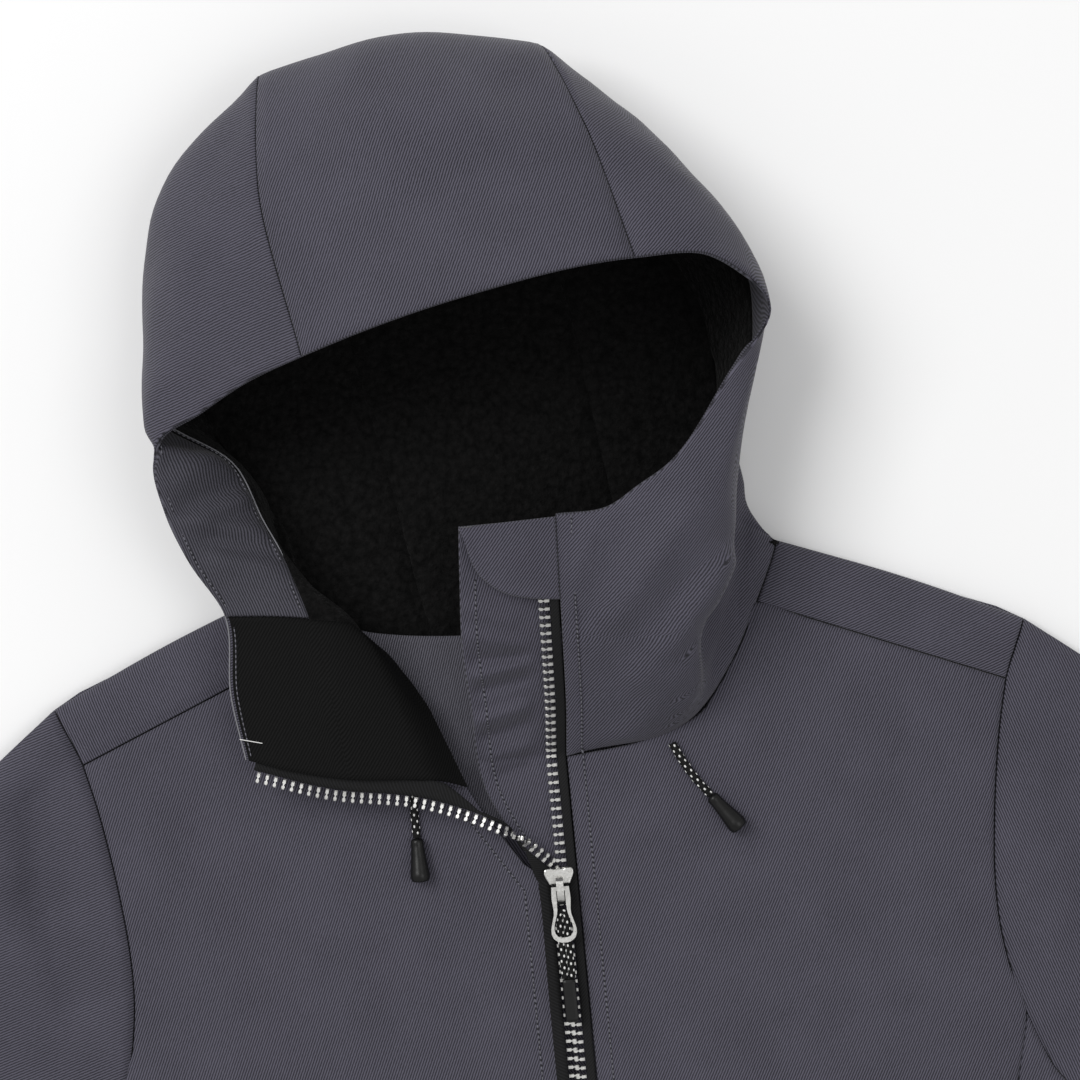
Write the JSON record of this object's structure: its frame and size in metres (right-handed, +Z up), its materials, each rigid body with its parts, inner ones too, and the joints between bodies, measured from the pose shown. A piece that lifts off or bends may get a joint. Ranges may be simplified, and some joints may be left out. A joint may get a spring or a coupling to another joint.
{
  "type": "insulated jacket",
  "caption": "Hooded insulated jacket laid flat on its back, hood filled out and open, front zip part open with the left collar turned over, drawcords at the neck.",
  "frame": {"origin": "under the centre-front neck point, on the underside of the back, which lies on the surface", "axes": "+Z up from the surface, +Y from the hem towards the hood, +X to the right as seen from above"},
  "size_m": [1.0676, 0.974, 0.1165],
  "materials": {
    "shell_cloth": "dark grey twill, matt",
    "black_facing": "black twill, matt",
    "pile_lining": "black curled pile",
    "zip_tape": "black woven tape",
    "zip_metal": "silver, satin",
    "cord": "black braid with white flecks",
    "cord_trim": "black, soft sheen"
  },
  "bodies": {
    "jacket": {"back": "shell_cloth", "front_left": "shell_cloth", "front_right": "shell_cloth", "side_left": "shell_cloth", "side_right": "shell_cloth", "yoke_left": "shell_cloth", "yoke_right": "shell_cloth", "sleeve_upper_left": "shell_cloth", "sleeve_upper_right": "shell_cloth", "sleeve_under_left": "shell_cloth", "sleeve_under_right": "shell_cloth", "hood_side_left": "shell_cloth", "hood_crown": "shell_cloth", "hood_side_right": "shell_cloth", "hood_facing": "shell_cloth", "neck_facing": "shell_cloth", "wind_flap": "shell_cloth", "zip_garage": "shell_cloth", "collar_facing": "black_facing", "lining_left": "pile_lining", "lining_crown": "pile_lining", "lining_right": "pile_lining", "zip_tape_left": "zip_tape", "zip_tape_right": "zip_tape", "zip_teeth_left": "zip_metal", "zip_teeth_right": "zip_metal", "slider": "zip_metal", "slider_bridge": "zip_metal", "drawcord_left": "cord", "drawcord_right": "cord", "cord_end_left": "cord_trim", "cord_end_right": "cord_trim"},
    "zip_pull": {"pull_tab": "zip_metal", "pull_cord": "cord", "pull_end": "cord_trim"}
  },
  "joints": [
    {"name": "pull_tab_swing", "type": "hinge", "parent": "jacket", "child": "zip_pull", "pos_m": [0, -0.0615, 0.02307], "axis": [-1, 0, 0], "range_deg": [0, 150]}
  ]
}
